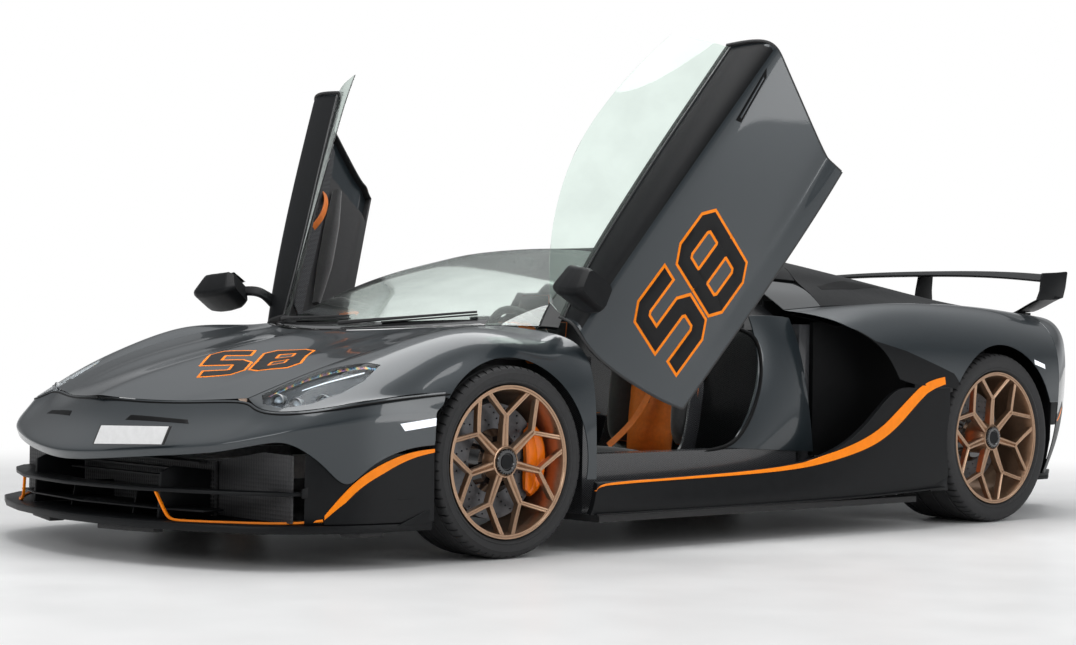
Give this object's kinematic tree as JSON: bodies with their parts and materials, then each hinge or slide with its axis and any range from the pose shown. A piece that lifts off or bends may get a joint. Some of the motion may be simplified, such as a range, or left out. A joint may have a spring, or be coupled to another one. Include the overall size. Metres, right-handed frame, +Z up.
{
  "type": "mid-engined supercar with upward-swinging doors",
  "caption": "Low two-seat mid-engined sports car with upward-swinging doors, rear wing, front splitter, forked-arm wheels, opening lids and steered front wheels.",
  "frame": {"origin": "on the floor under the tyres, midway along the car and on its centre plane", "axes": "+Z up, -Y to the front of the car, +X to the driver's left"},
  "size_m": [2.8454, 4.939, 1.8757],
  "materials": {
    "carbon": "bare carbon fibre laminate, satin lacquer",
    "black_panel": "satin black carbon composite",
    "glass": "clear safety glass with a faint green tint",
    "paint": "gloss dark blue-grey paint with orange pinstripes",
    "lamp_lens": "clear lamp lens over dark reflectors",
    "tail_lens": "red lens",
    "duct": "black duct plastic",
    "exhaust_metal": "heat-tinted steel",
    "engine_metal": "cast alloy",
    "suspension_metal": "machined alloy",
    "caliper_paint": "gloss orange",
    "trim": "black hide and microfibre with orange stitching",
    "seat_leather": "black microfibre with orange inserts",
    "tyre_rubber": "black rubber",
    "wheel_alloy": "satin bronze"
  },
  "bodies": {
    "body": {"tub": "carbon", "cabin_frame": "black_panel", "windscreen": "glass", "cabin_glass": "glass", "front_bumper": "paint", "front_aero": "black_panel", "front_splitter": "black_panel", "front_fender_left": "paint", "front_fender_right": "paint", "headlamps": "lamp_lens", "side_skirt_left": "black_panel", "side_skirt_right": "black_panel", "rear_fender_left": "paint", "rear_fender_right": "paint", "side_ducts": "duct", "rear_bumper": "paint", "rear_fascia": "duct", "rear_diffuser": "black_panel", "rear_valance": "black_panel", "tail_lamps": "tail_lens", "exhaust": "exhaust_metal", "engine_block": "engine_metal", "rear_deck": "black_panel", "rear_wing": "black_panel", "underfloor": "carbon", "front_suspension": "suspension_metal", "rear_suspension": "suspension_metal", "rear_calipers": "caliper_paint", "dashboard": "trim", "centre_console": "trim", "seat_left": "seat_leather", "seat_right": "seat_leather", "steering_wheel": "trim"},
    "door_left": {"door_left": "paint", "door_glass_left": "glass", "mirror_left": "black_panel"},
    "door_right": {"door_right": "paint", "door_glass_right": "glass", "mirror_right": "black_panel"},
    "hood": {"hood": "paint"},
    "engine_cover": {"engine_cover": "black_panel"},
    "knuckle_left": {"knuckle_left": "suspension_metal"},
    "knuckle_right": {"knuckle_right": "suspension_metal"},
    "wheel_front_left": {"tyre_front_left": "tyre_rubber", "wheel_front_left": "wheel_alloy"},
    "wheel_front_right": {"tyre_front_right": "tyre_rubber", "wheel_front_right": "wheel_alloy"},
    "wheel_rear_left": {"tyre_rear_left": "tyre_rubber", "wheel_rear_left": "wheel_alloy"},
    "wheel_rear_right": {"tyre_rear_right": "tyre_rubber", "wheel_rear_right": "wheel_alloy"}
  },
  "joints": [
    {"name": "door_left_swing", "type": "hinge", "parent": "body", "child": "door_left", "pos_m": [0.85, -0.9235, 0.721], "axis": [0.924, 0.0231, -0.3816], "range_deg": [-62.2, 0]},
    {"name": "door_right_swing", "type": "hinge", "parent": "body", "child": "door_right", "pos_m": [-0.85, -0.9235, 0.721], "axis": [0.924, -0.0231, 0.3816], "range_deg": [-62.2, 0]},
    {"name": "hood_lift", "type": "hinge", "parent": "body", "child": "hood", "pos_m": [0, -1.2575, 0.764], "axis": [-1, 0, 0], "range_deg": [0, 50]},
    {"name": "engine_cover_lift", "type": "hinge", "parent": "body", "child": "engine_cover", "pos_m": [0, 0.6135, 1.056], "axis": [1, 0, 0], "range_deg": [0, 50]},
    {"name": "steer_left", "type": "hinge", "parent": "body", "child": "knuckle_left", "pos_m": [0.79, -1.3015, 0.3305], "axis": [0, 0, 1], "range_deg": [-30, 30]},
    {"name": "steer_right", "type": "hinge", "parent": "body", "child": "knuckle_right", "pos_m": [-0.79, -1.3015, 0.3305], "axis": [0, 0, 1], "range_deg": [-30, 30]},
    {"name": "spin_front_left", "type": "hinge", "parent": "knuckle_left", "child": "wheel_front_left", "pos_m": [0.86, -1.3015, 0.3305], "axis": [1, 0, 0], "continuous": true},
    {"name": "spin_front_right", "type": "hinge", "parent": "knuckle_right", "child": "wheel_front_right", "pos_m": [-0.86, -1.3015, 0.3305], "axis": [1, 0, 0], "continuous": true},
    {"name": "spin_rear_left", "type": "hinge", "parent": "body", "child": "wheel_rear_left", "pos_m": [0.84, 1.3985, 0.3555], "axis": [1, 0, 0], "continuous": true},
    {"name": "spin_rear_right", "type": "hinge", "parent": "body", "child": "wheel_rear_right", "pos_m": [-0.84, 1.3985, 0.3555], "axis": [1, 0, 0], "continuous": true}
  ],
  "couplings": [
    {"joint": "steer_right", "follows": "steer_left", "ratio": 1}
  ]
}
